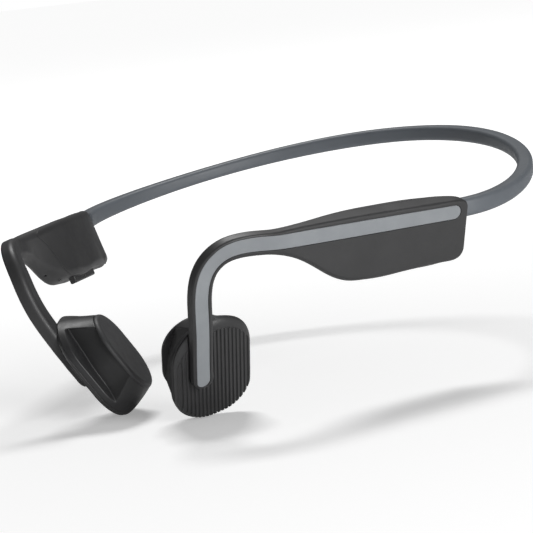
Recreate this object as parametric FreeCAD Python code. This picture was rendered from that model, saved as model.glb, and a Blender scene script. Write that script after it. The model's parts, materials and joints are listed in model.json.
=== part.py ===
import FreeCAD, Part
import math
import os
from FreeCAD import Vector

# Bone conduction headphones: a sprung neckband joins two earpieces. Each earpiece is a flat
# housing that sits behind the ear, a hook that goes over the ear and down, and a pad that
# holds the vibrating driver against the cheekbone. Millimetres; the wearer faces -Y,
# +Z is up and the wearer's left ear is at +X.

# ---- where the neckband meets the housings, and the neckband's curve
JUNCTION_X = 62.8
BAND_REAR_Y = 77.5
BAND_REAR_RISE = 10.7
BAND_EXIT_ANGLE = 35.3
BAND_SIDE_HANDLE = 26.5
BAND_REAR_HANDLE = 47.6
BAND_THICKNESS = 4.2
BAND_HEIGHT_END = 4.7
BAND_HEIGHT_SIDE = 3.8
BAND_HEIGHT_REAR = 4.2
BAND_CORNER = 1.25
SLEEVE_SETBACK = 1.8
CORE_INSERTION = 0.9
CORE_OFFSET = 0.85
CORE_POINTS = 12
SLEEVE_SECTIONS = 12
BAND_RISE = 0.015        # slope of the band where it leaves the junction
BAND_SLIMMING = 0.9      # share of each half over which the sleeve slims and fills again
WIRE_RADIUS = 0.5
CABLE_RADIUS = 0.6
LUMEN_CLEARANCE = 0.05

# ---- how an earpiece stands: toe-in, cant and pitch of its own forward/outward/up axes
TOE_IN = 22.6
CANT = 17.2
PITCH = 1.9

# ---- housing and hook
FACE = 2.4              # how far the strip's face stands outward of the junction centre
RIM = 0.1               # how far the rim stands proud of the strip
WALL = 1.1
INNER_TOP_DROP = 0.2
INNER_CORNER_SHARE = 0.42
CAVITY_REACH = 48.0      # the hollow ends here, where the housing narrows to the hook
PARTING = -2.3          # outward position of the seam between outer frame and inner cover
SEAM = 0.03
COVER_END = 52.0
OUTER_CORNER = 0.8
BOTTOM_CORNER = 1.1
INNER_CORNER = 1.9
CAVITY_CORNER = 0.5
HOOK_ABOVE = 2.55       # hook edge above the strip's middle
HOOK_BELOW = 3.1        # hook edge below the strip's middle
HOOK_THICKNESS = 3.8
HOOK_ROOT_THICKNESS = 4.8
HOOK_OUTER_CORNER = 0.6
HOOK_LOWER_CORNER = 0.8
HOOK_INNER_CORNER = 1.5
HOOK_STATIONS = 20
HOOK_LEAD_IN = 1.8       # first hook section, behind the second point of the hook line
STRIP_HALF = 1.8
STRIP_DEPTH = 0.6
STRIP_REAR = 3.8
STRIP_GAP = 0.12
STRIP_BED = 0.02         # glue under the strip
STRIP_END = 2.6          # last strip station, back from the end of the hook
LEAD_DEPTH = 2.3
LEAD_END_DEPTH = 5.3
LEAD_RADIUS = 0.55
LEAD_CHANNEL = 0.85
LEAD_START = 45.5
LEAD_DROP = 0.3
LEAD_STATIONS = 17
LEAD_DIP = 4             # stations over which the wires dip into the pad
SLOT_INNER = -1.55
SLOT_OUTER = 1.2
SLOT_HALF_HEIGHT = 1.75
ANCHOR_RADIUS = 1.5
ANCHOR_START = 2.4
ANCHOR_LENGTH = 4.2
ANCHOR_ACROSS = -0.15
GLUE_GAP = 0.03
HOOK_SEAT_GAP = 0.06

# The strip's centre line along the hook, as forward, outward and up from the junction.
HOOK_LINE = [
    Vector(55.0, 2.4, 0.05),
    Vector(60.8, 1.9, 0.2),
    Vector(65.3, 0.7, -0.3),
    Vector(68.9, -0.3, -1.6),
    Vector(71.4, -1.1, -3.8),
    Vector(73.1, -1.75, -7.0),
    Vector(73.85, -2.0, -11.0),
    Vector(73.3, -2.35, -18.1),
    Vector(72.2, -3.25, -24.2),
    Vector(71.1, -4.5, -30.4),
    Vector(69.6, -6.1, -37.6),
]
HOOK_END = Vector(69.15, -6.58, -39.9)

# Housing stations: forward position, top, bottom, tilt of the outer face in degrees,
# inner face at the top, inner face at the bottom, height of the inner bottom corner.
HOUSING_STATIONS = [
    (0.0, 1.9, -11.2, 0.0, -1.5, -1.5, -11.0),
    (0.8, 2.8, -12.7, 0.0, -2.0, -2.0, -12.5),
    (3.2, 3.2, -13.5, 0.0, -2.9, -2.8, -13.2),
    (8.0, 3.2, -13.5, 1.0, -4.2, -4.0, -13.2),
    (14.0, 3.2, -13.5, 3.0, -5.0, -4.7, -13.1),
    (22.0, 3.2, -13.6, 6.0, -5.2, -4.7, -13.0),
    (30.0, 3.2, -13.5, 8.0, -5.0, -4.1, -12.8),
    (35.0, 3.15, -13.1, 9.0, -4.7, -3.1, -12.2),
    (39.0, 3.1, -12.1, 9.0, -4.3, -1.8, -10.7),
    (43.0, 3.05, -10.2, 9.0, -3.7, -0.7, -8.2),
    (47.0, 3.0, -7.6, 8.0, -3.0, -0.2, -6.0),
    (51.0, 2.9, -5.2, 5.0, -2.3, -0.6, -4.4),
    (55.0, 2.75, -3.7, 2.0, -1.7, -1.2, -3.5),
]

# ---- pad, measured from the strip's centre line where the hook ends
PAD_REAR = -15.4
PAD_FRONT = 6.4
PAD_BOTTOM = -14.9
PAD_TOP = 15.0
PAD_CORNERS = (10.0, 10.4, 10.0, 8.5)   # rear top, front top, front bottom, rear bottom
CORNER_SPARE = 0.3       # straight left between two corners when a side is short
CAP_FACE = -2.35
RIB_HEIGHT = 0.3
RIB_PITCH = 1.1
RIB_HALF_WIDTH = 0.33
RIB_COUNT = 19
RIB_TOP_MARGIN = 2.2
RIB_EDGE_MARGIN = 0.35
RIB_ROOT = 0.6
RIB_ROUNDING = 0.28
STUD_RADIUS = 1.2
STUD_START = -4.2
STUD_LENGTH = 1.0
BOWL_MOUTH = -3.95
CAP_PLATE = 1.0
BOWL_FLOOR = -10.8
SKIN_START = -11.8
SKIN_FACE = -13.0
SKIN_SLOPE = -0.13
BUTTON_TRAVEL = 0.3
FIXED_CAP_GAP = 0.08
PRESSED_CAP_GAP = BUTTON_TRAVEL + 0.05
NOTCH_CLEARANCE = 0.15
PAD_MIDDLE_U = -4.2
POCKET_FLOOR = 3.2       # forward position of the pocket's floor in the bowl's front wall
POCKET_LEAN = 0.31       # how steeply that floor falls back above the pad's middle
POCKET_LIP = -5.5        # depth at which the pocket begins
POCKET_LEDGE = 0.3       # thickness of the bowl's edge that carries the skin pad
POCKET_TOP = 13.1        # top of the pocket at its lip
POCKET_TOP_SKIN = 9.6    # and beside the skin pad
POCKET_RAMP = -5.0       # the floor ramps out below this height
POCKET_BOTTOM = -14.0
POCKET_WALL = 0.85
POST_HEIGHTS = (-10.2, 8.0)
POST_RADIUS = 1.0
POST_TOP = -5.6
DRIVER_CENTRE = (-5.0, -1.2)
YOKE_RADIUS = 6.6
YOKE_WALL = 0.8
YOKE_HEIGHT = 2.5
MAGNET_RADIUS = 4.3
MAGNET_HEIGHT = 1.6
COIL_INNER = 4.6
COIL_OUTER = 5.4
COIL_HEIGHT = 1.7
PLATE_RADIUS = 7.2
PLATE_THICKNESS = 0.4
COIL_TO_YOKE = 0.5
MAGNET_BOND = 0.02

# Sections of the bowl: depth, share of the skin slope, then how far the front, top,
# bottom and rear sides draw in.
BOWL_SECTIONS = [
    (BOWL_MOUTH, 0.0, (0.0, 0.0, 0.0, 0.0)),
    (-5.4, 0.0, (0.2, 0.8, 0.2, 0.1)),
    (-8.4, 0.5, (1.5, 2.5, 0.9, 0.7)),
    (SKIN_START, 1.0, (2.2, 4.5, 2.2, 1.6)),
]
BOWL_HOLLOW = [
    (BOWL_MOUTH + 0.01, 0.0, (0.0, 0.0, 0.0, 0.0)),
    (-5.4, 0.0, (1.2, 0.9, 0.2, 0.1)),
    (-8.4, 0.5, (2.4, 3.0, 0.9, 0.7)),
    (BOWL_FLOOR, 1.0, (2.9, 4.2, 1.8, 1.4)),
]
SKIN_DRAW = (2.2, 4.7, 2.3, 1.6)
# Edge of the skin pad and of the cap: depth, inset, then the same four draws.
SKIN_EDGE = [
    (SKIN_START - GLUE_GAP, 0.0),
    (SKIN_START - 0.6, 0.1),
    (SKIN_FACE + 0.2, 0.5),
    (SKIN_FACE, 1.2),
]
CAP_EDGE = [
    (CAP_FACE - 0.9, 0.05, (0.15, 0.2, 0.0, 0.0)),
    (CAP_FACE - 0.3, 0.45, (0.6, 0.6, 0.0, 0.0)),
    (CAP_FACE, 1.2, (1.0, 0.9, 0.0, 0.0)),
]
# Button board and switch in the left pad, as two corners each.
PAD_BOARD = ((-7.2, -5.55, -11.4), (-3.2, -5.0, 9.2))
PAD_SWITCH = ((-6.8, -4.97, -3.0), (-3.4, -4.6, 0.6))

# ---- inside the housings, as two corners each: forward, outward, up
BATTERY = ((9.0, -2.9, -11.0), (31.0, 1.1, 0.2))
BATTERY_EDGE = 0.9
CELL_BOARD = ((32.0, -0.4, -9.0), (38.5, 0.4, -0.8))
MAIN_BOARD = ((12.2, -2.2, -10.7), (34.0, -1.4, 1.2))
MAIN_BOARD_CUT = ((32.0, -3.0, -11.5), (36.0, 0.0, -9.3))
SHIELD_CAN = ((19.0, -1.37, -6.5), (32.0, 0.1, 0.4))
SHIELD_CORNER = 0.6
SWITCH_HALF_LENGTH = 1.8
SWITCH_LOW = (-1.37, -10.7)     # outward and up
SWITCH_HIGH = (0.2, -9.3)
COVER_ZONE = ((-2.0, -12.0, -20.0), (COVER_END, PARTING, 8.0))

# ---- volume buttons, charging socket and microphone in the right housing
BUTTON_ACROSS = -0.6
BUTTON_WIDTH = 2.0
BUTTON_LENGTH = 7.6
BUTTON_CLEARANCE = 0.1
BUTTON_FLANGE = 0.4
BUTTON_ROUNDING = 0.45
SLOT_ROUNDING = 0.5
POST_HALF = 0.8
POST_ACROSS = (-1.35, -0.2)
POST_RISE = 0.2
FLANGE_OVERHANG = 0.3
FLANGE_TOP = -11.3
VOLUME_DOWN_U = 18.2
VOLUME_UP_U = 27.0
BUTTON_END = -14.75
SOCKET_U = 7.0
SOCKET_ACROSS = -0.2
SOCKET_WIDTH = 8.9
SOCKET_HEIGHT = 3.16
SOCKET_DEPTH = 6.6
SOCKET_MOUTH = -12.35
SOCKET_WALL = 0.3
SOCKET_BACK = 0.8
TONGUE_HALF_LENGTH = 3.3
TONGUE_HALF_THICKNESS = 0.35
TONGUE_SETBACK = 0.6
COVER_LENGTH = 9.6
COVER_WIDTH = 3.5
COVER_THICKNESS = 0.9
COVER_FACE = -13.35
COVER_CLEARANCE = 0.08
COVER_ROUNDING = 0.25
LIGHT_RADIUS = 0.35
LIGHT_LENGTH = 1.4
LIGHT_PLACE = (36.6, 0.6, -12.6)
MICROPHONE_PLACE = (42.3, 1.9, -10.0)
MICROPHONE_AXIS = (0.44, 0.0, -0.9)
MICROPHONE_HOLE = 0.45
MICROPHONE_SIZE = (2.4, 1.3, 0.8)
MICROPHONE_DEPTH = 2.6
MESH_RADIUS = 0.65
MESH_DEPTH = 1.75
MESH_THICKNESS = 0.2
THROUGH = 6.0            # length of the cutters that pass right through a wall


def rounded_polygon(corners, radii):
    """Closed wire through planar corners, each rounded by its own radius."""
    arcs = []
    count = len(corners)
    for index in range(count):
        corner = corners[index]
        before = (corners[index - 1] - corner).normalize()
        after = (corners[(index + 1) % count] - corner).normalize()
        half_angle = before.getAngle(after) / 2
        reach = radii[index] / math.tan(half_angle)
        inward = (before + after).normalize()
        middle = corner + inward * (radii[index] / math.sin(half_angle) - radii[index])
        arcs.append((corner + before * reach, middle, corner + after * reach))
    edges = []
    for index in range(count):
        start, middle, end = arcs[index]
        edges.append(Part.Arc(start, middle, end).toShape())
        edges.append(Part.makeLine(end, arcs[(index + 1) % count][0]))
    return Part.Wire(edges)


def loft(wires):
    return Part.makeLoft(wires, True, False)


def box(low, high):
    """Box between two corners given as (forward, outward, up)."""
    size = [high[axis] - low[axis] for axis in range(3)]
    return Part.makeBox(size[0], size[1], size[2], Vector(*low))


# ---------------------------------------------------------------- frames

def earpiece_placement():
    """The left earpiece's forward, outward and up axes, placed at the junction."""
    toe = math.radians(TOE_IN)
    cant = math.radians(CANT)
    pitch = math.radians(PITCH)
    level = math.cos(pitch)
    forward = Vector(-math.sin(toe) * level, -math.cos(toe) * level, math.sin(pitch))
    sideways = Vector(math.cos(toe), -math.sin(toe), 0)
    upward = forward.cross(sideways)
    outward = sideways * math.cos(cant) - upward * math.sin(cant)
    up = forward.cross(outward)
    turn = FreeCAD.Rotation(forward, outward, up, "XYZ")
    return FreeCAD.Placement(Vector(JUNCTION_X, 0, 0), turn)


class Station:
    """A place on the strip's centre line with its own outward and above directions."""

    def __init__(self, point, along, outward):
        self.point = point
        self.along = along
        self.outward = outward
        self.above = along.cross(outward)

    def at(self, outward, above):
        return self.point + self.outward * outward + self.above * above


def hook_curve():
    curve = Part.BSplineCurve()
    curve.interpolate(Points=HOOK_LINE + [HOOK_END], InitialTangent=Vector(1, -0.02, 0),
                      FinalTangent=(HOOK_END - HOOK_LINE[-1]).normalize())
    return curve


def hook_station(curve, parameter):
    point = curve.value(parameter)
    along = Vector(*curve.tangent(parameter)[0]).normalize()
    sideways = Vector(0, 1, 0)
    outward = (sideways - along * sideways.dot(along)).normalize()
    return Station(point, along, outward)


def hook_stations(count, start_point, end_point):
    curve = hook_curve()
    first = curve.parameter(start_point)
    last = curve.parameter(end_point)
    step = (last - first) / (count - 1)
    return [hook_station(curve, first + step * index) for index in range(count)]


def housing_station(forward):
    """Strip station in the housing; its outward axis follows the face's tilt."""
    tilt = math.radians(interpolate_tilt(forward))
    outward = Vector(0, math.cos(tilt), math.sin(tilt))
    return Station(Vector(forward, FACE, 0.0), Vector(1, 0, 0), outward)


def interpolate_tilt(forward):
    for near, far in zip(HOUSING_STATIONS[:-1], HOUSING_STATIONS[1:]):
        if near[0] <= forward <= far[0]:
            share = (forward - near[0]) / (far[0] - near[0])
            return near[3] + share * (far[3] - near[3])
    return 0.0


# ---------------------------------------------------------------- earpiece skin

def housing_section(row, inset):
    """One rounded four-sided section of the housing, moved inward by inset."""
    forward, top, bottom, tilt, inner_top, inner_bottom, inner_bottom_up = row
    slope = math.tan(math.radians(tilt))
    face = FACE + RIM - inset
    corners = [
        Vector(forward, face - (top - inset) * slope, top - inset),
        Vector(forward, face - (bottom + inset) * slope, bottom + inset),
        Vector(forward, inner_bottom + inset, inner_bottom_up + inset),
        Vector(forward, inner_top + inset, top - INNER_TOP_DROP - inset),
    ]
    if inset > 0:
        return rounded_polygon(corners, [CAVITY_CORNER] * 4)
    inner = min(INNER_CORNER, INNER_CORNER_SHARE * (FACE - inner_top))
    return rounded_polygon(corners, [OUTER_CORNER, BOTTOM_CORNER, inner, inner])


def hook_section(station, thickness, grow):
    """Rounded section of the hook, enlarged by grow on every side."""
    face = RIM + grow
    corners = [
        station.at(face, HOOK_ABOVE + grow),
        station.at(face, -HOOK_BELOW - grow),
        station.at(-thickness + RIM - grow, -HOOK_BELOW - grow),
        station.at(-thickness + RIM - grow, HOOK_ABOVE + grow),
    ]
    radii = [HOOK_OUTER_CORNER, HOOK_LOWER_CORNER, HOOK_INNER_CORNER, HOOK_INNER_CORNER]
    return rounded_polygon(corners, radii)


def hook_thickness(station):
    """The hook thickens where it is let into the pad."""
    sunk = (station.point.z - HOOK_LINE[8].z) / (HOOK_END.z - HOOK_LINE[8].z)
    share = min(max(sunk, 0.0), 1.0)
    blend = share * share * (3 - 2 * share)
    return HOOK_THICKNESS + blend * (HOOK_ROOT_THICKNESS - HOOK_THICKNESS)


def tip_disc(station, radius, low, high):
    """Short cylinder across the outer face, to round off an end."""
    base = station.at(low, 0)
    return Part.makeCylinder(radius, high - low, base, station.outward)


def hook_tip(grow):
    """Rounded end of the hook, beyond the last full section."""
    station = hook_stations(2, HOOK_LINE[1], HOOK_END)[-1]
    middle = (HOOK_ABOVE - HOOK_BELOW) / 2
    radius = (HOOK_ABOVE + HOOK_BELOW) / 2 + grow
    low = RIM - HOOK_ROOT_THICKNESS - grow
    base = station.at(low, middle) - station.along * radius
    length = HOOK_ROOT_THICKNESS + 2 * grow
    disc = Part.makeCylinder(radius, length, base, station.outward)
    rim_edges = [edge for edge in disc.Edges if edge.Closed]
    outer_edge = max(rim_edges, key=lambda edge: edge.CenterOfMass.sub(base).dot(station.outward))
    return disc.makeFillet(HOOK_OUTER_CORNER, [outer_edge])


def earpiece_skin():
    """Housing and hook as one solid body, before it is hollowed and split."""
    sections = [housing_section(row, 0.0) for row in HOUSING_STATIONS]
    curve = hook_curve()
    end_point = curve.value(curve.parameter(last_full_section()))
    for station in hook_stations(HOOK_STATIONS, HOOK_LINE[1] - Vector(HOOK_LEAD_IN, 0, 0), end_point):
        sections.append(hook_section(station, hook_thickness(station), 0.0))
    return loft(sections).fuse(hook_tip(0.0))


def last_full_section():
    """Place near the strip's centre line where the hook's rounded tip begins."""
    radius = (HOOK_ABOVE + HOOK_BELOW) / 2
    return HOOK_END - (HOOK_END - HOOK_LINE[-1]).normalize() * radius


def hook_envelope(grow):
    """The lower hook enlarged by grow, used to cut the pad's cap and bowl."""
    sections = []
    for station in hook_stations(8, HOOK_LINE[6], last_full_section()):
        sections.append(hook_section(station, hook_thickness(station), grow))
    return loft(sections).fuse(hook_tip(grow))


def strip_solid(half, low, high):
    """Inlay strip body: flat ribbon along the outer face with two round ends."""
    def section(station):
        corners = [
            station.at(high, half),
            station.at(high, -half),
            station.at(low, -half),
            station.at(low, half),
        ]
        return Part.makePolygon(corners + [corners[0]])
    forwards = [STRIP_REAR] + [row[0] for row in HOUSING_STATIONS if row[0] > STRIP_REAR]
    housing = [housing_station(forward) for forward in forwards]
    end = HOOK_END - (HOOK_END - HOOK_LINE[-1]).normalize() * STRIP_END
    hook = hook_stations(HOOK_STATIONS, HOOK_LINE[1] - Vector(HOOK_LEAD_IN, 0, 0), end)
    ribbon = loft([section(station) for station in housing + hook])
    ends = [tip_disc(housing[0], half, low, high), tip_disc(hook[-1], half, low, high)]
    return ribbon.multiFuse(ends).removeSplitter()


def lead_line():
    """Centre line of the wires inside the hook; it dips into the pad at its end."""
    points = [Vector(LEAD_START, FACE - LEAD_DEPTH, -LEAD_DROP)]
    stations = hook_stations(LEAD_STATIONS, HOOK_LINE[0], HOOK_LINE[9])
    level = LEAD_STATIONS - 1 - LEAD_DIP
    for index, station in enumerate(stations):
        share = max(0.0, (index - level) / LEAD_DIP)
        depth = LEAD_DEPTH + (LEAD_END_DEPTH - LEAD_DEPTH) * share * share
        points.append(station.at(-depth, -LEAD_DROP))
    curve = Part.BSplineCurve()
    curve.interpolate(points)
    return curve


def tube_along_hook(radius):
    """Round rod along the wires' centre line."""
    curve = lead_line()
    start = curve.value(curve.FirstParameter)
    leaving = Vector(*curve.tangent(curve.FirstParameter)[0])
    profile = Part.Wire(Part.makeCircle(radius, start, leaving))
    return Part.Wire(curve.toShape()).makePipeShell([profile], True, False)


def housing_cavity():
    """The hollow inside the housing's wall, from the rear wall to the root of the hook."""
    rows = [row for row in HOUSING_STATIONS[2:] if row[0] < CAVITY_REACH]
    rear = (WALL,) + HOUSING_STATIONS[2][1:]
    return loft([housing_section(row, WALL) for row in [rear] + rows])


def core_slot():
    """Opening in the rear wall where the neckband's wire and cable come in."""
    return box((-1.0, SLOT_INNER, -SLOT_HALF_HEIGHT), (WALL + 1.0, SLOT_OUTER, SLOT_HALF_HEIGHT))


def band_anchor():
    """Crimped metal collar that fixes the band's core inside the housing."""
    centre = Vector(ANCHOR_START, ANCHOR_ACROSS, 0.0)
    return Part.makeCylinder(ANCHOR_RADIUS, ANCHOR_LENGTH, centre, Vector(1, 0, 0))


def frame_and_cover():
    """Outer frame with the hook, and the inner cover, split at the seam."""
    hollow = earpiece_skin().cut(housing_cavity())
    hollow = hollow.cut(core_slot())
    zone = box(*COVER_ZONE)
    cover = hollow.common(moved(zone, FreeCAD.Placement(Vector(-SEAM, -SEAM, 0), FreeCAD.Rotation())))
    frame = hollow.cut(zone)
    frame = frame.cut(strip_solid(STRIP_HALF + STRIP_GAP, -STRIP_DEPTH, 1.0))
    frame = frame.cut(tube_along_hook(LEAD_CHANNEL))
    return largest(frame), largest(cover)


def largest(shape):
    return max(shape.Solids, key=lambda solid: solid.Volume)


def trim_strip():
    return strip_solid(STRIP_HALF, -STRIP_DEPTH + STRIP_BED, 0.0)


def hook_lead():
    return tube_along_hook(LEAD_RADIUS)


# ---------------------------------------------------------------- pad

def pad_placement():
    """Pad axes: forward, outward and up where the strip's centre line ends."""
    station = hook_stations(2, HOOK_LINE[1], HOOK_LINE[-1])[-1]
    turn = FreeCAD.Rotation(station.above, station.outward, station.along * -1, "XYZ")
    return FreeCAD.Placement(station.point, turn)


def pad_outline(outward, inset, slope=0.0, draw=(0.0, 0.0, 0.0, 0.0)):
    """Rounded outline of the pad at one depth; draw moves front, top, bottom and rear in."""
    front, top, bottom, rear = draw
    rear_edge = PAD_REAR + inset + rear
    front_edge = PAD_FRONT - inset - front
    low_edge = PAD_BOTTOM + inset + bottom
    high_edge = PAD_TOP - inset - top

    def corner(across, height):
        return Vector(across, outward + slope * (across - PAD_MIDDLE_U), height)
    corners = [
        corner(rear_edge, high_edge),
        corner(front_edge, high_edge),
        corner(front_edge, low_edge),
        corner(rear_edge, low_edge),
    ]
    largest_radius = (front_edge - rear_edge) / 2 - CORNER_SPARE
    radii = [min(radius - inset / 2, largest_radius) for radius in PAD_CORNERS]
    return rounded_polygon(corners, radii)


def pad_loft(rows, inset):
    """Solid through pad outlines given as depth, share of the skin slope and draws."""
    return loft([pad_outline(depth, inset, SKIN_SLOPE * share, draw) for depth, share, draw in rows])


def pocket_outline(depth, top, grow):
    """Five-sided outline of the pocket at one depth, open towards the front."""
    front = PAD_FRONT + POCKET_WALL
    floor = POCKET_FLOOR - grow
    top += grow
    places = [(front, POCKET_BOTTOM - grow), (floor, POCKET_RAMP - grow), (floor, 0.0),
              (floor - POCKET_LEAN * top, top), (front, top)]
    corners = [Vector(across, depth, height) for across, height in places]
    return Part.makePolygon(corners + [corners[0]])


def front_pocket(grow):
    """Cutter for the pocket in the bowl's front wall, between its lip and the skin pad."""
    return loft([pocket_outline(POCKET_LIP + grow, POCKET_TOP, grow),
                 pocket_outline(SKIN_START + POCKET_LEDGE - grow, POCKET_TOP_SKIN, grow)])


def pad_bowl(hook, channel):
    """Cup that holds the driver, open on its outer side, with two board posts."""
    cavity = pad_loft(BOWL_HOLLOW, WALL).cut(front_pocket(POCKET_WALL))
    bowl = pad_loft(BOWL_SECTIONS, 0.0).cut(front_pocket(0.0)).cut(cavity)
    for height in POST_HEIGHTS:
        base = Vector(DRIVER_CENTRE[0], SKIN_START, height)
        post = Part.makeCylinder(POST_RADIUS, POST_TOP - SKIN_START, base, Vector(0, 1, 0))
        bowl = bowl.fuse(post.common(cavity))
    return largest(bowl.cut(hook).cut(channel))


def skin_pad():
    """Soft vibrating face with a rounded edge, flat where it touches the skin."""
    return loft([pad_outline(depth, inset, SKIN_SLOPE, SKIN_DRAW) for depth, inset in SKIN_EDGE])


def cap_body(low, lift):
    """The cap's rounded outside from its low edge to its face, raised by lift."""
    edge = [pad_outline(depth + lift, inset, 0.0, draw) for depth, inset, draw in CAP_EDGE]
    return loft([pad_outline(low, 0.0)] + edge)


def upright_rib(across):
    """Bar with a rounded crest, running the whole height of the pad."""
    crest = CAP_FACE + RIB_HEIGHT
    profile = rounded_polygon([
        Vector(across - RIB_HALF_WIDTH, CAP_FACE - RIB_ROOT, PAD_BOTTOM),
        Vector(across + RIB_HALF_WIDTH, CAP_FACE - RIB_ROOT, PAD_BOTTOM),
        Vector(across + RIB_HALF_WIDTH, crest, PAD_BOTTOM),
        Vector(across - RIB_HALF_WIDTH, crest, PAD_BOTTOM),
    ], [STRIP_BED, STRIP_BED, RIB_ROUNDING, RIB_ROUNDING])
    return Part.Face(profile).extrude(Vector(0, 0, PAD_TOP - PAD_BOTTOM))


def rib_zone(low):
    """Where the ribs may stand: just above the cap's rounded face, inside its edge."""
    draw = (0.0, RIB_TOP_MARGIN, 0.0, 0.0)
    field = loft([pad_outline(CAP_FACE - RIB_ROOT, RIB_EDGE_MARGIN, 0.0, draw),
                  pad_outline(CAP_FACE + RIB_HEIGHT, RIB_EDGE_MARGIN, 0.0, draw)])
    return field.common(cap_body(low, RIB_HEIGHT))


def ribbed_cap(notch, gap, has_stud):
    """Outer cap with upright ribs, cut away where the hook lies over it."""
    low = BOWL_MOUTH + gap
    under = loft([pad_outline(low - 1.0, WALL), pad_outline(CAP_FACE - CAP_PLATE, WALL)])
    cap = cap_body(low, 0.0).cut(under)
    zone = rib_zone(low)
    middle = (PAD_REAR + PAD_FRONT) / 2
    first = middle - RIB_PITCH * (RIB_COUNT - 1) / 2
    ribs = [upright_rib(first + RIB_PITCH * index).common(zone) for index in range(RIB_COUNT)]
    cap = cap.multiFuse(ribs)
    if has_stud:
        centre = Vector(DRIVER_CENTRE[0], STUD_START, DRIVER_CENTRE[1])
        cap = cap.fuse(Part.makeCylinder(STUD_RADIUS, STUD_LENGTH, centre, Vector(0, 1, 0)))
    return largest(cap.cut(notch))


def ring(outer, inner, low, height):
    """Ring around the driver's axis, which points outward."""
    centre = Vector(DRIVER_CENTRE[0], low, DRIVER_CENTRE[1])
    tube = Part.makeCylinder(outer, height, centre, Vector(0, 1, 0))
    if inner > 0:
        tube = tube.cut(Part.makeCylinder(inner, height, centre, Vector(0, 1, 0)))
    return tube


def driver_pieces():
    """Moving-coil exciter: spring plate on the bowl's floor, coil, magnet and cup yoke."""
    floor = BOWL_FLOOR + GLUE_GAP
    plate = ring(PLATE_RADIUS, 0, floor, PLATE_THICKNESS)
    coil = ring(COIL_OUTER, COIL_INNER, floor + PLATE_THICKNESS, COIL_HEIGHT)
    yoke_low = floor + PLATE_THICKNESS + COIL_TO_YOKE
    yoke = ring(YOKE_RADIUS, YOKE_RADIUS - YOKE_WALL, yoke_low, YOKE_HEIGHT)
    back = ring(YOKE_RADIUS, 0, yoke_low + YOKE_HEIGHT, YOKE_WALL)
    magnet_low = yoke_low + YOKE_HEIGHT - MAGNET_HEIGHT
    magnet = ring(MAGNET_RADIUS, 0, magnet_low - MAGNET_BOND, MAGNET_HEIGHT)
    pieces = {"spring_plate": plate, "voice_coil": coil, "driver_magnet": magnet,
              "driver_yoke": yoke.fuse(back).removeSplitter()}
    lean = math.degrees(math.atan(SKIN_SLOPE))
    for shape in pieces.values():
        shape.rotate(Vector(PAD_MIDDLE_U, floor, 0), Vector(0, 0, 1), lean)
    return pieces


def pad_set(side, is_button):
    """All pieces of one pad, in the pad's own axes."""
    inverse = pad_placement().inverse()
    notch = moved(hook_envelope(NOTCH_CLEARANCE), inverse)
    hook = moved(hook_envelope(HOOK_SEAT_GAP), inverse)
    channel = moved(tube_along_hook(LEAD_CHANNEL), inverse)
    gap = PRESSED_CAP_GAP if is_button else FIXED_CAP_GAP
    cap_name = "multifunction_button_cap" if is_button else side + "_ribbed_cap"
    pieces = {
        side + "_pad_bowl": pad_bowl(hook, channel),
        side + "_skin_pad": skin_pad(),
        cap_name: ribbed_cap(notch, gap, is_button),
    }
    for name, shape in driver_pieces().items():
        pieces[side + "_" + name] = shape
    if is_button:
        pieces["multifunction_board"] = box(*PAD_BOARD)
        pieces["multifunction_switch"] = box(*PAD_SWITCH)
    return {name: moved(shape, pad_placement()) for name, shape in pieces.items()}


def moved(shape, placement):
    return shape.transformed(placement.toMatrix(), True)


# ---------------------------------------------------------------- housing contents

def battery():
    cell = box(*BATTERY)
    long_edges = [edge for edge in cell.Edges if abs(edge.tangentAt(0).x) > 0.9]
    return cell.makeFillet(BATTERY_EDGE, long_edges)


def main_board():
    return box(*MAIN_BOARD).cut(box(*MAIN_BOARD_CUT))


def shield_can():
    can = box(*SHIELD_CAN)
    upright = [edge for edge in can.Edges if abs(edge.tangentAt(0).y) > 0.9]
    return can.makeFillet(SHIELD_CORNER, upright)


def volume_switch(forward):
    return box((forward - SWITCH_HALF_LENGTH,) + SWITCH_LOW, (forward + SWITCH_HALF_LENGTH,) + SWITCH_HIGH)


def volume_button(forward):
    """Rounded key with a wider flange inside the wall and a post towards its switch."""
    half = BUTTON_LENGTH / 2
    side = BUTTON_WIDTH / 2
    key = box((forward - half, BUTTON_ACROSS - side, BUTTON_END),
              (forward + half, BUTTON_ACROSS + side, FLANGE_TOP))
    outer = [edge for edge in key.Edges if edge.CenterOfMass.z < BUTTON_END + 0.1]
    upright = [edge for edge in key.Edges if abs(edge.tangentAt(0).z) > 0.9]
    key = key.makeFillet(BUTTON_ROUNDING, outer + upright)
    half += FLANGE_OVERHANG
    side += FLANGE_OVERHANG
    flange = box((forward - half, BUTTON_ACROSS - side, FLANGE_TOP - BUTTON_FLANGE),
                 (forward + half, BUTTON_ACROSS + side, FLANGE_TOP))
    post = box((forward - POST_HALF, POST_ACROSS[0], FLANGE_TOP - BUTTON_FLANGE),
               (forward + POST_HALF, POST_ACROSS[1], FLANGE_TOP + POST_RISE))
    return key.fuse(flange).fuse(post).removeSplitter()


def button_slot(forward):
    half = BUTTON_LENGTH / 2 + BUTTON_CLEARANCE
    side = BUTTON_WIDTH / 2 + BUTTON_CLEARANCE
    slot = box((forward - half, BUTTON_ACROSS - side, BUTTON_END - WALL),
               (forward + half, BUTTON_ACROSS + side, FLANGE_TOP + WALL))
    upright = [edge for edge in slot.Edges if abs(edge.tangentAt(0).z) > 0.9]
    return slot.makeFillet(SLOT_ROUNDING, upright)


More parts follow.
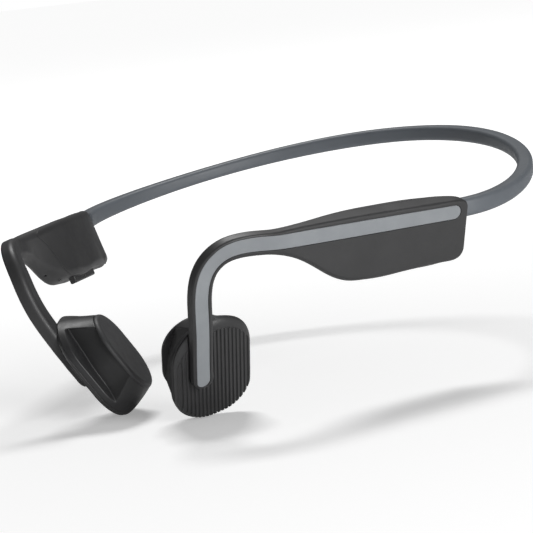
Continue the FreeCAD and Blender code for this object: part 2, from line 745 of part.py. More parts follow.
def stadium(length, width, low, high, forward, across):
    """Upright prism with round ends, used for the socket and its opening."""
    radius = width / 2
    half = length / 2 - radius
    middle = box((forward - half, across - radius, low), (forward + half, across + radius, high))
    rear = Part.makeCylinder(radius, high - low, Vector(forward - half, across, low))
    front = Part.makeCylinder(radius, high - low, Vector(forward + half, across, low))
    return middle.multiFuse([rear, front]).removeSplitter()


def charging_socket():
    """Metal shell of the charging socket with its contact tongue."""
    top = SOCKET_MOUTH + SOCKET_DEPTH
    shell = stadium(SOCKET_WIDTH, SOCKET_HEIGHT, SOCKET_MOUTH, top, SOCKET_U, SOCKET_ACROSS)
    hollow = stadium(SOCKET_WIDTH - 2 * SOCKET_WALL, SOCKET_HEIGHT - 2 * SOCKET_WALL,
                     SOCKET_MOUTH, top - SOCKET_BACK, SOCKET_U, SOCKET_ACROSS)
    tongue = box((SOCKET_U - TONGUE_HALF_LENGTH, SOCKET_ACROSS - TONGUE_HALF_THICKNESS,
                  SOCKET_MOUTH + TONGUE_SETBACK),
                 (SOCKET_U + TONGUE_HALF_LENGTH, SOCKET_ACROSS + TONGUE_HALF_THICKNESS,
                  top - SOCKET_BACK / 2))
    return shell.cut(hollow).fuse(tongue).removeSplitter()


def socket_opening():
    """Hole in the bottom wall for the socket, widened outside it for the flap."""
    width = SOCKET_WIDTH + 2 * GLUE_GAP
    height = SOCKET_HEIGHT + 2 * GLUE_GAP
    hole = stadium(width, height, COVER_FACE - WALL, SOCKET_MOUTH + SOCKET_DEPTH + GLUE_GAP,
                   SOCKET_U, SOCKET_ACROSS)
    recess = stadium(COVER_LENGTH + 2 * COVER_CLEARANCE, COVER_WIDTH + 2 * COVER_CLEARANCE,
                     COVER_FACE - WALL, COVER_FACE + COVER_THICKNESS + GLUE_GAP, SOCKET_U, SOCKET_ACROSS)
    return hole.fuse(recess)


def port_cover():
    """Soft flap that lies in its recess over the mouth of the socket."""
    flap = stadium(COVER_LENGTH, COVER_WIDTH, COVER_FACE, COVER_FACE + COVER_THICKNESS,
                   SOCKET_U, SOCKET_ACROSS)
    face_edges = [edge for edge in flap.Edges if edge.CenterOfMass.z < COVER_FACE + SEAM]
    return flap.makeFillet(COVER_ROUNDING, face_edges)


def light_pipe():
    return Part.makeCylinder(LIGHT_RADIUS, LIGHT_LENGTH, Vector(*LIGHT_PLACE))


def light_pipe_hole():
    base = Vector(*LIGHT_PLACE) - Vector(0, 0, THROUGH / 2)
    return Part.makeCylinder(LIGHT_RADIUS + GLUE_GAP, THROUGH, base)


def microphone_placement():
    """Axes at the microphone hole in the slanting front wall; the third points out."""
    outward = Vector(*MICROPHONE_AXIS).normalize()
    return FreeCAD.Placement(Vector(*MICROPHONE_PLACE), FreeCAD.Rotation(Vector(0, 0, 1), outward))


def microphone_hole():
    hole = Part.makeCylinder(MICROPHONE_HOLE, THROUGH, Vector(0, 0, -THROUGH / 2))
    return moved(hole, microphone_placement())


def microphone_mesh():
    disc = Part.makeCylinder(MESH_RADIUS, MESH_THICKNESS, Vector(0, 0, -MESH_DEPTH))
    return moved(disc, microphone_placement())


def microphone():
    length, width, height = MICROPHONE_SIZE
    can = Part.makeBox(length, width, height, Vector(-length / 2, -width / 2, -MICROPHONE_DEPTH))
    return moved(can, microphone_placement())


# ---------------------------------------------------------------- neckband

def band_half_curve():
    """Curve of the band's left half, from the junction to the rear middle."""
    angle = math.radians(BAND_EXIT_ANGLE)
    junction = Vector(JUNCTION_X, 0, 0)
    rear = Vector(0, BAND_REAR_Y, BAND_REAR_RISE)
    leaving = Vector(math.sin(angle), math.cos(angle), BAND_RISE)
    curve = Part.BezierCurve()
    curve.setPoles([junction, junction + leaving * BAND_SIDE_HANDLE,
                    rear + Vector(BAND_REAR_HANDLE, 0, 0), rear])
    return curve


def band_frames(count):
    """Points, tangents and distances from the junction along the left half."""
    curve = band_half_curve()
    total = curve.length()
    frames = []
    for index in range(count):
        distance = SLEEVE_SETBACK + (total - SLEEVE_SETBACK) * index / (count - 1)
        parameter = curve.parameterAtDistance(distance, curve.FirstParameter)
        tangent = Vector(*curve.tangent(parameter)[0]).normalize()
        frames.append((curve.value(parameter), tangent, distance / total))
    return frames


def band_height(share):
    """Height of the sleeve along one half: tall at the housing, slim, then fuller."""
    dip = math.sin(math.pi * min(share / BAND_SLIMMING, 1.0)) ** 2
    base = BAND_HEIGHT_END + (BAND_HEIGHT_REAR - BAND_HEIGHT_END) * share
    return base - (base - BAND_HEIGHT_SIDE) * dip


def band_section(point, tangent, height):
    across = tangent.cross(Vector(0, 0, 1)).normalize()
    upright = across.cross(tangent).normalize()
    half_width = BAND_THICKNESS / 2
    corners = [
        point + across * half_width + upright * (height / 2),
        point - across * half_width + upright * (height / 2),
        point - across * half_width - upright * (height / 2),
        point + across * half_width - upright * (height / 2),
    ]
    return rounded_polygon(corners, [BAND_CORNER] * 4)


def neckband_sleeve():
    """Silicone sleeve over the whole band, with one bore each for wire and cable."""
    frames = band_frames(SLEEVE_SECTIONS)
    sections = [band_section(point, tangent, band_height(share))
                for point, tangent, share in frames]
    for point, tangent, share in reversed(frames[:-1]):
        mirrored = Vector(-point.x, point.y, point.z)
        onward = Vector(tangent.x, -tangent.y, -tangent.z)
        sections.append(band_section(mirrored, onward, band_height(share)))
    sleeve = loft(sections)
    wire_bore = band_core(WIRE_RADIUS + LUMEN_CLEARANCE, -CORE_OFFSET)
    cable_bore = band_core(CABLE_RADIUS + LUMEN_CLEARANCE, CORE_OFFSET)
    return sleeve.cut(wire_bore).cut(cable_bore)


def band_core(radius, lift):
    """Round rod through the band that reaches a little way into both housings."""
    half = band_half_curve()
    start = half.value(half.FirstParameter)
    leaving = Vector(*half.tangent(half.FirstParameter)[0]).normalize()
    step = half.length() / CORE_POINTS
    points = [start - leaving * CORE_INSERTION]
    for index in range(CORE_POINTS):
        points.append(half.value(half.parameterAtDistance(step * index, half.FirstParameter)))
    rear = half.value(half.LastParameter)
    mirrored = [Vector(-point.x, point.y, point.z) for point in reversed(points)]
    raised = [point + Vector(0, 0, lift) for point in points + [rear] + mirrored]
    line = Part.BSplineCurve()
    line.interpolate(raised)
    first = line.value(line.FirstParameter)
    onward = Vector(*line.tangent(line.FirstParameter)[0])
    profile = Part.Wire(Part.makeCircle(radius, first, onward))
    return Part.Wire(line.toShape()).makePipeShell([profile], True, False)


# ---------------------------------------------------------------- assembly

def left_pieces(frame, cover):
    pieces = {
        "left_frame": frame,
        "left_inner_cover": cover,
        "left_trim_strip": trim_strip(),
        "left_hook_lead": hook_lead(),
        "left_band_anchor": band_anchor(),
        "battery": battery(),
        "battery_protection_board": box(*CELL_BOARD),
    }
    pieces.update(pad_set("left", True))
    return {name: moved(shape, earpiece_placement()) for name, shape in pieces.items()}


def right_pieces(frame, cover):
    openings = [button_slot(VOLUME_DOWN_U), button_slot(VOLUME_UP_U), socket_opening(),
                light_pipe_hole(), microphone_hole()]
    for opening in openings:
        frame = frame.cut(opening)
        cover = cover.cut(opening)
    pieces = {
        "right_frame": largest(frame),
        "right_inner_cover": largest(cover),
        "right_trim_strip": trim_strip(),
        "right_hook_lead": hook_lead(),
        "right_band_anchor": band_anchor(),
        "main_board": main_board(),
        "radio_shield_can": shield_can(),
        "charging_socket": charging_socket(),
        "port_cover": port_cover(),
        "volume_down_button": volume_button(VOLUME_DOWN_U),
        "volume_up_button": volume_button(VOLUME_UP_U),
        "volume_down_switch": volume_switch(VOLUME_DOWN_U),
        "volume_up_switch": volume_switch(VOLUME_UP_U),
        "status_light_pipe": light_pipe(),
        "microphone": microphone(),
        "microphone_mesh": microphone_mesh(),
    }
    pieces.update(pad_set("right", False))
    placed = {}
    for name, shape in pieces.items():
        placed[name] = moved(shape, earpiece_placement()).mirror(Vector(0, 0, 0), Vector(1, 0, 0))
    return placed


def all_pieces():
    frame, cover = frame_and_cover()
    pieces = {
        "neckband_sleeve": neckband_sleeve(),
        "neckband_wire": band_core(WIRE_RADIUS, -CORE_OFFSET),
        "neckband_cable": band_core(CABLE_RADIUS, CORE_OFFSET),
    }
    pieces.update(left_pieces(frame, cover))
    pieces.update(right_pieces(frame, cover))
    return pieces


def origin_shift(pieces):
    """Puts the origin midway front to back, on the mirror plane, at the lowest point."""
    bounds = FreeCAD.BoundBox()
    for shape in pieces.values():
        bounds.add(shape.optimalBoundingBox(False))
    return Vector(0, -bounds.Center.y, -bounds.ZMin)


def write_pieces():
    os.makedirs("parts", exist_ok=True)
    pieces = all_pieces()
    shift = origin_shift(pieces)
    for name, shape in pieces.items():
        shape.translate(shift)
        shape.exportStep("parts/" + name + ".step")


write_pieces()
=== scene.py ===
import json
import math

import bpy
from mathutils import Matrix, Vector


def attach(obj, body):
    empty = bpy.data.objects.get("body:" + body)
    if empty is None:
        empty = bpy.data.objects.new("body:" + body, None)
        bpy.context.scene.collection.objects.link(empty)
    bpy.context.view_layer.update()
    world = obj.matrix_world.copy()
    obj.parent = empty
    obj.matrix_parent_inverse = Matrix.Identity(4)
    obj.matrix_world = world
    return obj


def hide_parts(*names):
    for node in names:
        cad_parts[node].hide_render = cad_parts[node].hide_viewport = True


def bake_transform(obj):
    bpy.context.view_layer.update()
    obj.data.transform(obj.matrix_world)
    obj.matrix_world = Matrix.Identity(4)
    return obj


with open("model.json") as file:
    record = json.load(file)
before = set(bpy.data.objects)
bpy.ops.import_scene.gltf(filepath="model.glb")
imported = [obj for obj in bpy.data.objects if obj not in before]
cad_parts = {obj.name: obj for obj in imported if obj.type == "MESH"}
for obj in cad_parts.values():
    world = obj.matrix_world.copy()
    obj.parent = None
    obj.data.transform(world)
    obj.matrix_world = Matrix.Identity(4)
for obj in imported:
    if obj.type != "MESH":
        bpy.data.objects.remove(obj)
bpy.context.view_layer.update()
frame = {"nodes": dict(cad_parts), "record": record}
record = frame["record"]
JOINTS = {joint["name"]: joint for joint in record["behaviour"]["joints"]}
JUNCTION = Vector(JOINTS["left_flex"]["pos_m"])

# ------------------------------------------------------------- materials

CLOUD_SCALE, PATCH_SCALE, SCUFF_SCALE = 90.0, 260.0, 420.0
GRAIN_SCALE, FINE_GRAIN_SCALE = 2600.0, 5200.0
GLOSS_DOWN, GLOSS_UP = 0.06, 0.07
GRAIN_STRENGTH, GRAIN_DEPTH = 0.05, 0.0002
# Lighter colour painted along the edges as a highlight, and used for the scuffs on round-cornered
# meshes.
EDGE_HIGHLIGHT_AND_SCUFF_GAIN, EDGE_HIGHLIGHT_AND_SCUFF_LIFT = 1.5, 0.03
EDGE_RADIUS, EDGE_SAMPLES = 0.00025, 6
EDGE_BENT, EDGE_FLAT = 0.86, 0.995
SCUFF_START, SCUFF_FULL = 0.58, 0.8


def node_tree(name):
    """New material with its nodes, links and shader."""
    material = bpy.data.materials.new(name)
    material.use_nodes = True
    nodes = material.node_tree.nodes
    shader = nodes["Principled BSDF"]
    return material, nodes, material.node_tree.links, shader


def noise(nodes, links, scale, detail=4.0, roughness=0.6):
    """Object-space noise between 0 and 1."""
    place = nodes.new("ShaderNodeTexCoord")
    texture = nodes.new("ShaderNodeTexNoise")
    texture.inputs["Scale"].default_value = scale
    texture.inputs["Detail"].default_value = detail
    texture.inputs["Roughness"].default_value = roughness
    links.new(place.outputs["Object"], texture.inputs["Vector"])
    return texture.outputs["Fac"]


def ramp(nodes, links, value, low, high, start=0.3, end=0.7):
    """Value from low to high while the input runs from start to end."""
    blend = nodes.new("ShaderNodeMapRange")
    blend.inputs["From Min"].default_value = start
    blend.inputs["From Max"].default_value = end
    blend.inputs["To Min"].default_value = low
    blend.inputs["To Max"].default_value = high
    links.new(value, blend.inputs["Value"])
    return blend.outputs["Result"]


def mix_colour(nodes, links, factor, first, second):
    """Blend of two colours, each given as numbers or as a node's output."""
    mix = nodes.new("ShaderNodeMix")
    mix.data_type = "RGBA"
    links.new(factor, mix.inputs["Factor"])
    for socket, value in ((mix.inputs[6], first), (mix.inputs[7], second)):
        if isinstance(value, tuple):
            socket.default_value = (*value, 1)
        else:
            links.new(value, socket)
    return mix.outputs[2]


def softened_edge(nodes, links, radius):
    """Normal eased round the edges, and a mask that is bright along the edges, where the painted
    highlight goes.
    """
    bevel = nodes.new("ShaderNodeBevel")
    bevel.samples = EDGE_SAMPLES
    bevel.inputs["Radius"].default_value = radius
    geometry = nodes.new("ShaderNodeNewGeometry")
    dot = nodes.new("ShaderNodeVectorMath")
    dot.operation = "DOT_PRODUCT"
    links.new(bevel.outputs["Normal"], dot.inputs[0])
    links.new(geometry.outputs["Normal"], dot.inputs[1])
    mask = ramp(nodes, links, dot.outputs["Value"], 1.0, 0.0, EDGE_BENT, EDGE_FLAT)
    return bevel.outputs["Normal"], mask


def scuffs(nodes, links):
    """Sparse patches of handling wear, for a mesh whose corners are already round."""
    specks = noise(nodes, links, SCUFF_SCALE, 6.0)
    return ramp(nodes, links, specks, 0.0, 1.0, SCUFF_START, SCUFF_FULL)


def moulded(name, colour, tint, rough, grain=GRAIN_SCALE, highlight_and_wear=0.25, metallic=0.0,
            edge_radius=EDGE_RADIUS):
    """A moulded or coated surface: mottled colour, uneven gloss, fine grain, rubbed edges.

    An edge_radius of 0 is for meshes whose corners are already round; there sparse scuffs of
    handling wear take the lighter colour instead of the painted highlight.
    """
    material, nodes, links, shader = node_tree(name)
    cloudy = noise(nodes, links, CLOUD_SCALE, 3.0)
    body = mix_colour(nodes, links, ramp(nodes, links, cloudy, 0.0, 1.0), colour, tint)
    # Lighter colour: a painted highlight along the edges; on round-cornered meshes, scuffs of wear.
    highlight_and_scuff_colour = tuple(min(1.0, channel * EDGE_HIGHLIGHT_AND_SCUFF_GAIN + EDGE_HIGHLIGHT_AND_SCUFF_LIFT) for channel in colour)
    edge = nodes.new("ShaderNodeMath")
    edge.operation = "MULTIPLY"
    edge.inputs[1].default_value = highlight_and_wear
    bump = nodes.new("ShaderNodeBump")
    if edge_radius > 0:
        # The bevel's mask places the painted highlight along the edges.
        normal, mask = softened_edge(nodes, links, edge_radius)
        links.new(normal, bump.inputs["Normal"])
    else:
        mask = scuffs(nodes, links)
    links.new(mask, edge.inputs[0])
    body = mix_colour(nodes, links, edge.outputs[0], body, highlight_and_scuff_colour)
    links.new(body, shader.inputs["Base Color"])
    patchy = noise(nodes, links, PATCH_SCALE, 5.0)
    gloss = ramp(nodes, links, patchy, rough - GLOSS_DOWN, rough + GLOSS_UP)
    links.new(gloss, shader.inputs["Roughness"])
    shader.inputs["Metallic"].default_value = metallic
    bump.inputs["Strength"].default_value = GRAIN_STRENGTH
    bump.inputs["Distance"].default_value = GRAIN_DEPTH
    links.new(noise(nodes, links, grain, 2.0, 0.5), bump.inputs["Height"])
    links.new(bump.outputs["Normal"], shader.inputs["Normal"])
    return material


# Colour, second colour of the mottling, roughness, and what differs from the usual finish.
FINISHES = {
    "sleeve_silicone": ((0.112, 0.125, 0.140), (0.122, 0.135, 0.151), 0.48,
                        {"highlight_and_wear": 0.05, "edge_radius": 0.0}),
    "titanium_wire": ((0.42, 0.41, 0.40), (0.50, 0.49, 0.48), 0.30, {"metallic": 1.0}),
    "cable_jacket": ((0.012, 0.012, 0.013), (0.02, 0.02, 0.022), 0.5, {}),
    "soft_touch_shell": ((0.031, 0.031, 0.032), (0.039, 0.039, 0.040), 0.46, {}),
    "soft_touch_cover": ((0.026, 0.026, 0.027), (0.033, 0.033, 0.034), 0.48, {}),
    "satin_trim": ((0.24, 0.255, 0.27), (0.28, 0.295, 0.31), 0.38, {"grain": FINE_GRAIN_SCALE}),
    "sprung_steel": ((0.45, 0.45, 0.46), (0.53, 0.53, 0.54), 0.32, {"metallic": 1.0}),
    "cell_foil": ((0.55, 0.56, 0.58), (0.62, 0.63, 0.64), 0.35, {"metallic": 0.9}),
    "circuit_board": ((0.01, 0.09, 0.04), (0.02, 0.12, 0.05), 0.35, {}),
    "shield_tin": ((0.50, 0.50, 0.50), (0.58, 0.58, 0.57), 0.3, {"metallic": 1.0}),
    "cover_silicone": ((0.024, 0.025, 0.027), (0.030, 0.031, 0.033), 0.6, {}),
    "button_plastic": ((0.029, 0.029, 0.030), (0.035, 0.035, 0.036), 0.45, {}),
    "switch_black": ((0.010, 0.010, 0.011), (0.016, 0.016, 0.017), 0.4, {}),
    "light_pipe": ((0.03, 0.03, 0.03), (0.05, 0.05, 0.05), 0.2, {}),
    "mesh_steel": ((0.10, 0.10, 0.11), (0.16, 0.16, 0.17), 0.4, {"metallic": 1.0}),
    "pad_shell": ((0.022, 0.022, 0.023), (0.029, 0.029, 0.030), 0.42, {"edge_radius": 0.0}),
    "ribbed_plastic": ((0.029, 0.029, 0.030), (0.037, 0.037, 0.038), 0.42, {}),
    "skin_silicone": ((0.046, 0.046, 0.048), (0.056, 0.056, 0.058), 0.52, {}),
    "magnet_nickel": ((0.60, 0.58, 0.55), (0.66, 0.64, 0.61), 0.22, {"metallic": 1.0}),
    "coil_copper": ((0.50, 0.20, 0.08), (0.58, 0.25, 0.10), 0.35, {"metallic": 1.0}),
}
MATERIALS = {name: moulded(name, colour, tint, rough, **options)
             for name, (colour, tint, rough, options) in FINISHES.items()}

for part in record["subparts"]:
    node = frame["nodes"][part["node"]]
    node.data.materials.clear()
    node.data.materials.append(MATERIALS[part["material_slot"]])

# ------------------------------------------------------------- shapes

MM = 0.001


def make_piece(name, vertices, faces, slot_name):
    """Smooth-shaded mesh piece in the row frame, in metres."""
    mesh = bpy.data.meshes.new(name)
    mesh.from_pydata([tuple(vertex) for vertex in vertices], [], faces)
    mesh.validate()
    mesh.shade_smooth()
    for polygon in mesh.polygons:
        polygon.use_smooth = len(polygon.vertices) == 4
    piece = bpy.data.objects.new(name, mesh)
    bpy.context.scene.collection.objects.link(piece)
    mesh.materials.append(MATERIALS[slot_name])
    return piece


def skin_loops(loops):
    """Vertices and faces of a closed skin through equal loops of points."""
    count = len(loops[0])
    vertices = [point for loop in loops for point in loop]
    faces = [tuple(reversed(range(count)))]
    for row in range(len(loops) - 1):
        for column in range(count):
            following = (column + 1) % count
            low, high = row * count, (row + 1) * count
            faces.append((low + column, low + following, high + following, high + column))
    last = (len(loops) - 1) * count
    faces.append(tuple(last + column for column in range(count)))
    return vertices, faces


def rounded_loop(low_x, high_x, low_y, high_y, radii, steps):
    """Points round a rectangle, clockwise from the corner at low x and high y."""
    corners = ((low_x, high_y, 180), (high_x, high_y, 90), (high_x, low_y, 0), (low_x, low_y, -90))
    points = []
    for (x, y, start), radius in zip(corners, radii):
        centre_x = x + radius if x == low_x else x - radius
        centre_y = y + radius if y == low_y else y - radius
        for step in range(steps + 1):
            angle = math.radians(start - 90 * step / steps)
            points.append((centre_x + radius * math.cos(angle), centre_y + radius * math.sin(angle)))
    return points


def smooth(value):
    """Soft step from 0 to 1, flat at both ends."""
    share = min(max(value, 0.0), 1.0)
    return share * share * (3 - 2 * share)


# ------------------------------------------------------------- neckband
# Lengths in millimetres; a distance runs along the band's centre line from the left junction.

BAND_REAR_Y, BAND_REAR_RISE = 77.5, 10.7
EXIT_ANGLE = math.radians(35.3)
SIDE_HANDLE, REAR_HANDLE = 26.5, 47.6
EXIT_RISE = 0.015
BAND_THICKNESS, HEIGHT_END, HEIGHT_SIDE, HEIGHT_REAR = 4.2, 4.7, 3.8, 4.2
DIP_SHARE = 0.9
BAND_CORNER, CORNER_STEPS = 1.15, 7
BEND_LENGTH, BEND_SHARE = 26.0, 0.8
TUCKED_IN = 0.5
HIDDEN_LENGTH, HIDDEN_SCALE = 0.5, 0.99
HALF_SAMPLES = 300
MIDDLE_LOOPS, END_LOOPS = 140, 40
WIRE_RADIUS, CABLE_RADIUS = 0.5, 0.6
CORE_OFFSET, CORE_INSERTION = 0.85, 0.9
CORE_SIDES = 20


def half_band_point(share):
    """Left half of the band's centre line, from the junction (0) to the rear middle (1)."""
    start = Vector((JUNCTION.x / MM, 0, 0))
    rear = Vector((0, BAND_REAR_Y, BAND_REAR_RISE))
    leaving = Vector((math.sin(EXIT_ANGLE), math.cos(EXIT_ANGLE), EXIT_RISE))
    poles = (start, start + leaving * SIDE_HANDLE, rear + Vector((REAR_HANDLE, 0, 0)), rear)
    left = 1 - share
    weights = (left ** 3, 3 * left ** 2 * share, 3 * left * share ** 2, share ** 3)
    return sum((pole * weight for weight, pole in zip(weights, poles)), Vector((0, 0, 0)))


left_half = [half_band_point(index / HALF_SAMPLES) for index in range(HALF_SAMPLES + 1)]
band_line = left_half + [Vector((-point.x, point.y, point.z)) for point in reversed(left_half[:-1])]
band_reach = [0.0]
for near, far in zip(band_line[:-1], band_line[1:]):
    band_reach.append(band_reach[-1] + (far - near).length)
BAND_LENGTH = band_reach[-1]


def band_height(distance):
    """Height of the sleeve: tall at the housings, slim at the sides, fuller at the rear."""
    share = min(distance, BAND_LENGTH - distance) / (BAND_LENGTH / 2)
    dip = math.sin(math.pi * min(max(share, 0.0) / DIP_SHARE, 1.0)) ** 2
    base = HEIGHT_END + (HEIGHT_REAR - HEIGHT_END) * share
    return base - (base - HEIGHT_SIDE) * dip


def band_axes(distance):
    """Centre, sideways and upright directions of the band, from the left junction."""
    last = len(band_reach) - 2
    index = 0
    while index < last and band_reach[index + 1] < distance:
        index += 1
    low, high = max(index - 2, 0), min(index + 3, last + 1)
    tangent = (band_line[high] - band_line[low]).normalized()
    step = (band_line[index + 1] - band_line[index]).normalized()
    point = band_line[index] + step * (distance - band_reach[index])
    across = tangent.cross(Vector((0, 0, 1))).normalized()
    return point, across, across.cross(tangent).normalized()


def band_section(distance, outline):
    """An outline of (sideways, upright) points set square across the band."""
    point, across, upright = band_axes(distance)
    lift = Vector((0, JUNCTION.y, JUNCTION.z))
    return [(point + across * x + upright * y) * MM + lift for x, y in outline]


def sleeve_loop(distance):
    """Section of the sleeve at a distance along the whole band."""
    half_width, half_height = BAND_THICKNESS / 2, band_height(distance) / 2
    outline = rounded_loop(-half_width, half_width, -half_height, half_height,
                           (BAND_CORNER,) * 4, CORNER_STEPS)
    return band_section(distance, outline)


def core_loop(distance, radius, offset):
    """Round section of a rod that runs above or below the band's centre line."""
    angles = [-math.tau * side / CORE_SIDES for side in range(CORE_SIDES)]
    outline = [(radius * math.cos(angle), offset + radius * math.sin(angle)) for angle in angles]
    return band_section(distance, outline)


def wire_loop(distance):
    return core_loop(distance, WIRE_RADIUS, -CORE_OFFSET)


def cable_loop(distance):
    return core_loop(distance, CABLE_RADIUS, CORE_OFFSET)


def loop_centre(loop):
    return sum(loop, Vector((0, 0, 0))) / len(loop)


def hidden_loop(loop_at, distance):
    """Section a hair smaller than the others, for an end that runs on under its neighbour."""
    loop = loop_at(distance)
    centre = loop_centre(loop)
    return [centre + (point - centre) * HIDDEN_SCALE for point in loop]


def band_piece(name, node, slot_name, loop_at, span, hidden_ends):
    """One length of the band; each distance in hidden_ends closes it under the next one."""
    first, last, count = span
    loops = [loop_at(first + (last - first) * index / (count - 1)) for index in range(count)]
    for distance in hidden_ends:
        position = 0 if distance < first else len(loops)
        loops.insert(position, hidden_loop(loop_at, distance))
    piece = make_piece(name, *skin_loops(loops), slot_name)
    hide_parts(node)
    return piece


LEFT_SEAM, RIGHT_SEAM = BEND_LENGTH, BAND_LENGTH - BEND_LENGTH


def band_run(prefix, node, slot_name, loop_at, tucked):
    """A run of the band in three lengths; the middle one is attached to the neckband, the outer two
    are baked in place.
    """
    middle = band_piece(prefix + "_middle", node, slot_name, loop_at,
                        (LEFT_SEAM, RIGHT_SEAM, MIDDLE_LOOPS),
                        (LEFT_SEAM - HIDDEN_LENGTH, RIGHT_SEAM + HIDDEN_LENGTH))
    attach(middle, "neckband")
    left = band_piece(prefix + "_left_end", node, slot_name, loop_at,
                      (-tucked, LEFT_SEAM, END_LOOPS), (LEFT_SEAM + HIDDEN_LENGTH,))
    right = band_piece(prefix + "_right_end", node, slot_name, loop_at,
                       (RIGHT_SEAM, BAND_LENGTH + tucked, END_LOOPS), (RIGHT_SEAM - HIDDEN_LENGTH,))
    for piece, body, junction, inward in ((left, "left_earpiece", 0.0, 1),
                                          (right, "right_earpiece", BAND_LENGTH, -1)):
        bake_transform(piece)


band_run("sleeve", "neckband_sleeve", "sleeve_silicone", sleeve_loop, TUCKED_IN)
band_run("wire", "neckband_wire", "titanium_wire", wire_loop, CORE_INSERTION)
band_run("cable", "neckband_cable", "cable_jacket", cable_loop, CORE_INSERTION)

# ------------------------------------------------------------- pad bowls
# Millimetres in the pad's own axes: u forward, v outward from the skin, w up.

PAD_REAR, PAD_FRONT, PAD_BOTTOM, PAD_TOP = -15.4, 6.4, -14.9, 15.0
PAD_CORNERS = (10.0, 10.4, 10.0, 8.5)
PAD_MIDDLE = -4.2
BOWL_MOUTH, BOWL_END, SKIN_FACE, SKIN_SLOPE = -3.95, -11.8, -13.0, -0.13
SKIN_MOUNT_HEIGHT = -1.5
POCKET_FLOOR, POCKET_LEAN, POCKET_LIP, POCKET_END = 3.2, 0.31, -5.5, -11.5
POCKET_TOP, POCKET_TOP_SKIN, POCKET_RAMP, RAMP_SLOPE = 13.1, 9.6, -5.0, 0.45
POCKET_EDGE, RAMP_BEND = 0.5, 2.0
BOWL_WALL = 0.85
FRONT_DRAW, TOP_DRAW, BOTTOM_DRAW, REAR_DRAW, DRAW_CURVE = 2.2, 4.5, 2.2, 1.6, 1.5
TILT_RISE = 1.25
SIDE_CLEARANCE = 0.05
LIP_WALL, LIP_RISE = 0.25, 0.02
LOOP_POINTS, PAD_CORNER_STEPS = 320, 24
OUTSIDE_STEPS, INSIDE_STEPS, INSIDE_LOOPS = 60, 24, 22

mounts = {mount["name"]: mount for mount in record["mounts"]}
skin_normal = Vector(mounts["left_skin_face"]["axis"])
pad_out = Vector(JOINTS["multifunction_press"]["axis"]) * -1
pad_fore = (skin_normal * math.hypot(1, SKIN_SLOPE) + pad_out) / SKIN_SLOPE
pad_fore = (pad_fore - pad_out * pad_fore.dot(pad_out)).normalized()
pad_up = pad_fore.cross(pad_out)
pad_origin = Vector(mounts["left_skin_face"]["pos_m"]) - (
    pad_fore * PAD_MIDDLE + pad_out * SKIN_FACE + pad_up * SKIN_MOUNT_HEIGHT) * MM


def even_loop(points, count):
    """The closed outline walked in equal steps."""
    reach = [0.0]
    ring = points + [points[0]]
    for near, far in zip(ring[:-1], ring[1:]):
        reach.append(reach[-1] + math.dist(near, far))
    walked, index = [], 0
    for step in range(count):
        distance = reach[-1] * step / count
        while reach[index + 1] < distance:
            index += 1
        span = max(reach[index + 1] - reach[index], 1e-9)
        share = (distance - reach[index]) / span
        near, far = ring[index], ring[index + 1]
        walked.append((near[0] + (far[0] - near[0]) * share, near[1] + (far[1] - near[1]) * share))
    return walked


def eased(value):
    """Zero below 0 and the value itself above, with a soft bend between."""
    return (value + math.hypot(value, RAMP_BEND)) / 2


def pocket_push(u, w, depth, wall):
    """How far a point on the bowl's front wall is set back into the pocket."""
    along = (depth - POCKET_LIP) / (POCKET_END - POCKET_LIP)
    top = POCKET_TOP + (POCKET_TOP_SKIN - POCKET_TOP) * along
    floor = POCKET_FLOOR - wall - POCKET_LEAN * eased(w) + RAMP_SLOPE * eased(POCKET_RAMP - w)
    inside = smooth((POCKET_LIP - depth) / POCKET_EDGE) * smooth((top + wall - w) / POCKET_EDGE)
    return max(u - floor, 0.0) * inside


def pad_loop(share, wall):
    """Bowl outline from the mouth (0) to the skin side (1), drawn in by wall."""
    front, top = FRONT_DRAW * smooth(share), TOP_DRAW * share
    bottom, rear = BOTTOM_DRAW * share ** DRAW_CURVE, REAR_DRAW * share ** DRAW_CURVE
    low_u, high_u = PAD_REAR + wall + rear, PAD_FRONT - wall - front
    low_w, high_w = PAD_BOTTOM + wall + bottom, PAD_TOP - wall - top
    half_width = (high_u - low_u) / 2 - SIDE_CLEARANCE
    radii = [min(radius - wall / 2, half_width) for radius in PAD_CORNERS]
    rounded = rounded_loop(low_u, high_u, low_w, high_w, radii, PAD_CORNER_STEPS)
    outline = even_loop(rounded, LOOP_POINTS)
    slope = SKIN_SLOPE * smooth(share * TILT_RISE)
    depth = BOWL_MOUTH + (BOWL_END - BOWL_MOUTH) * share
    loop = []
    for u, w in outline:
        v = depth + slope * (u - PAD_MIDDLE)
        loop.append((u - pocket_push(u, w, v, wall), v, w))
    return loop


def pad_point(point, side):
    """Place of a pad point (forward, outward, up, in mm); side -1 mirrors it to the right pad."""
    u, v, w = point
    place = pad_origin + (pad_fore * u + pad_out * v + pad_up * w) * MM
    return Vector((place.x * side, place.y, place.z))


def bowl_piece(side_name, side):
    """Open cup: outside from the mouth to the skin side, then the inside back up."""
    outside = [pad_loop(step / OUTSIDE_STEPS, 0.0) for step in range(OUTSIDE_STEPS + 1)]
    lip = [(u, v + LIP_RISE, w) for u, v, w in pad_loop(0.0, LIP_WALL)]
    inside = [pad_loop(step / INSIDE_STEPS, BOWL_WALL) for step in range(INSIDE_LOOPS)]
    loops = list(reversed(outside)) + [lip] + inside
    rings = [[pad_point(point, side) for point in loop] for loop in loops]
    if side < 0:
        rings = [[ring[0]] + ring[:0:-1] for ring in rings]
    piece = make_piece(side_name + "_bowl_shell", *skin_loops(rings), "pad_shell")
    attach(piece, side_name + "_earpiece")
    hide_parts(side_name + "_pad_bowl")


bowl_piece("left", 1)
bowl_piece("right", -1)

# ------------------------------------------------------------- studio

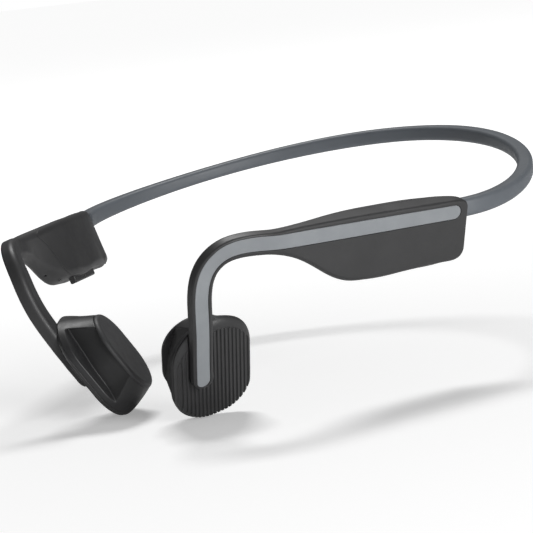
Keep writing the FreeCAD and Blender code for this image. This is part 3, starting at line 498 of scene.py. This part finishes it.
AZIMUTH, ELEVATION, ROLL = math.radians(37.0), math.radians(7.0), math.radians(7.4)
CAMERA_DISTANCE, LENS_LENGTH, SHIFT_X, SHIFT_Y = 0.6124, 153.86, 0.00844, -0.0972
WORLD_DIM = 0.12
FLOOR_DROP, FLOOR_SIZE, FLOOR_TONE = 0.0005, 8, 0.9
FADE_START, FADE_END = 0.25, 0.85
back = Vector((math.sin(AZIMUTH) * math.cos(ELEVATION), -math.cos(AZIMUTH) * math.cos(ELEVATION),
               math.sin(ELEVATION)))
level = Vector((math.cos(AZIMUTH), math.sin(AZIMUTH), 0))
upward = back.cross(level)
right = level * math.cos(ROLL) - upward * math.sin(ROLL)
top = level * math.sin(ROLL) + upward * math.cos(ROLL)
camera = bpy.data.objects.new("camera", bpy.data.cameras.new("camera"))
bpy.context.scene.collection.objects.link(camera)
spot = back * CAMERA_DISTANCE + Vector((0, JUNCTION.y, JUNCTION.z))
turn = Matrix((right, top, back)).transposed().to_4x4()
camera.matrix_world = Matrix.Translation(spot) @ turn
camera.data.lens = LENS_LENGTH
camera.data.shift_x = SHIFT_X
camera.data.shift_y = SHIFT_Y
camera.data.clip_start = 0.01
bpy.context.scene.camera = camera


def panel_light(name, place, target, size, power):
    """Rectangular softbox at a place, turned to face a target."""
    light = bpy.data.objects.new(name, bpy.data.lights.new(name, "AREA"))
    bpy.context.scene.collection.objects.link(light)
    light.data.shape = "RECTANGLE"
    light.data.size, light.data.size_y = size
    light.data.energy = power
    light.location = place
    aim = Vector(place) - Vector(target)
    light.rotation_euler = aim.to_track_quat("Z", "Y").to_euler()


panel_light("side_softbox", (1.0, -0.35, 0.22), (0.03, -0.02, 0.03), (0.5, 0.5), 8.5)
panel_light("overhead", (-0.3, 0.35, 1.0), (0, 0, 0.03), (0.5, 0.25), 6.5)

# The camera sees a white backdrop, while the part is lit by a dim one.
world = bpy.data.worlds.new("studio")
bpy.context.scene.world = world
world.use_nodes = True
sky, sky_links = world.node_tree.nodes, world.node_tree.links
dim = sky["Background"]
dim.inputs["Color"].default_value = (1, 1, 1, 1)
dim.inputs["Strength"].default_value = WORLD_DIM
backdrop = sky.new("ShaderNodeBackground")
backdrop.inputs["Color"].default_value = (1, 1, 1, 1)
seen = sky.new("ShaderNodeLightPath")
choose = sky.new("ShaderNodeMixShader")
sky_links.new(seen.outputs["Is Camera Ray"], choose.inputs["Fac"])
sky_links.new(dim.outputs[0], choose.inputs[1])
sky_links.new(backdrop.outputs[0], choose.inputs[2])
sky_links.new(choose.outputs[0], sky["World Output"].inputs["Surface"])
bpy.context.scene.view_settings.view_transform = "Standard"

# Pale floor that glows a little more with distance, so that it fades into the backdrop.
bpy.ops.mesh.primitive_plane_add(size=FLOOR_SIZE, location=(0, 0, -FLOOR_DROP))
floor = bpy.context.object
floor.name = "floor"
paper, paper_nodes, paper_links, paper_shader = node_tree("paper")
paper_shader.inputs["Base Color"].default_value = (FLOOR_TONE, FLOOR_TONE, FLOOR_TONE, 1)
paper_shader.inputs["Roughness"].default_value = 0.7
paper_shader.inputs["Specular IOR Level"].default_value = 0.1
paper_shader.inputs["Emission Color"].default_value = (1, 1, 1, 1)
place = paper_nodes.new("ShaderNodeNewGeometry")
away = paper_nodes.new("ShaderNodeVectorMath")
away.operation = "LENGTH"
paper_links.new(place.outputs["Position"], away.inputs[0])
camera_ray = paper_nodes.new("ShaderNodeLightPath")
lift = paper_nodes.new("ShaderNodeMath")
lift.operation = "MULTIPLY"
fade = ramp(paper_nodes, paper_links, away.outputs["Value"], FADE_START, FADE_END, 0.0, 1.0)
paper_links.new(fade, lift.inputs[0])
paper_links.new(camera_ray.outputs["Is Camera Ray"], lift.inputs[1])
paper_links.new(lift.outputs[0], paper_shader.inputs["Emission Strength"])
floor.data.materials.append(paper)
